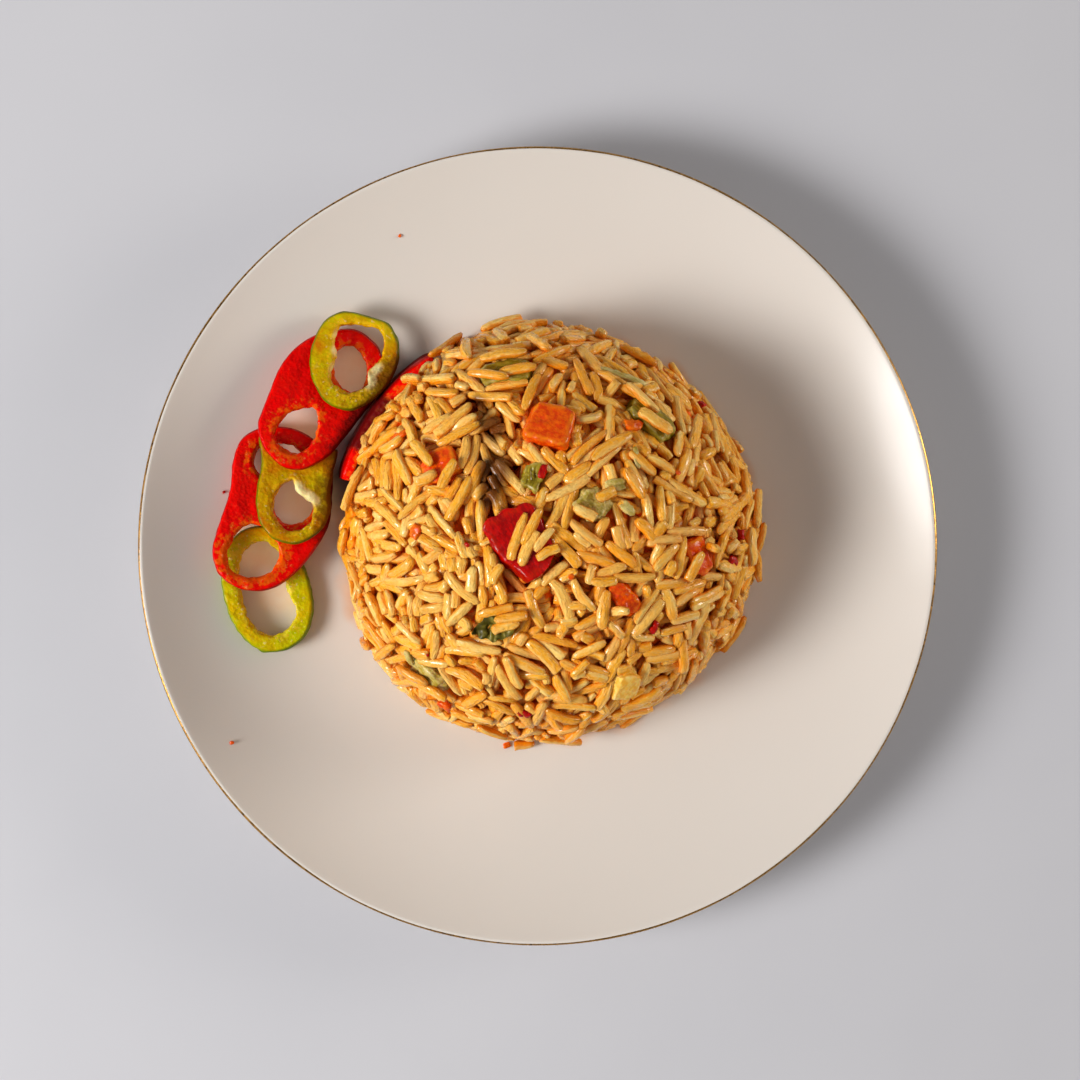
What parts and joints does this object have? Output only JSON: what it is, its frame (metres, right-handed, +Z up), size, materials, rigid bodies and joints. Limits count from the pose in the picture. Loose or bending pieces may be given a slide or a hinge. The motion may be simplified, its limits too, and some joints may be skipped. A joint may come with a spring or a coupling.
{
  "type": "plate of fried rice",
  "caption": "Moulded dome of long-grain fried rice with diced carrot and pepper on a round gold-rimmed coupe plate, with a chain of raw pepper slices beside it.",
  "frame": {"origin": "middle of the plate's foot ring, on the surface it stands on", "axes": "+Z up out of the plate; -X towards the pepper slices; +Y towards the top of the picture"},
  "size_m": [0.23, 0.23, 0.0591],
  "materials": {
    "plate_glaze": "clear glossy glaze over warm cream porcelain",
    "gilding": "thin worn gold line on the rounded lip",
    "cooked_rice": "golden cooked long-grain rice with a thin oily shine",
    "red_pepper_flesh": "wet cut flesh inside a smooth red skin",
    "green_pepper_flesh": "wet yellow-green cut flesh inside a thin green skin",
    "yellow_pepper_flesh": "soft cooked yellow flesh",
    "cooked_carrot": "soft cooked orange flesh with knife-cut faces, wet",
    "cooked_green_pepper": "soft cooked olive-green flesh",
    "herb": "dark wilted leaf, veined and wet"
  },
  "bodies": {
    "root": {"plate": "plate_glaze", "rice": "cooked_rice", "red_strip": "red_pepper_flesh", "red_slice_low": "red_pepper_flesh", "red_slice_high": "red_pepper_flesh", "green_slice_low": "green_pepper_flesh", "green_slice_middle": "green_pepper_flesh", "green_slice_high": "green_pepper_flesh", "carrot_crown": "cooked_carrot", "carrot_west": "cooked_carrot", "carrot_foot": "cooked_carrot", "carrot_south_east": "cooked_carrot", "carrot_east": "cooked_carrot", "red_pepper": "red_pepper_flesh", "yellow_pepper": "yellow_pepper_flesh", "green_pepper_east": "cooked_green_pepper", "green_pepper_north": "cooked_green_pepper", "green_pepper_foot": "cooked_green_pepper", "green_pepper_middle": "cooked_green_pepper", "green_pepper_crown": "cooked_green_pepper", "herb_leaf": "herb"}
  },
  "joints": []
}
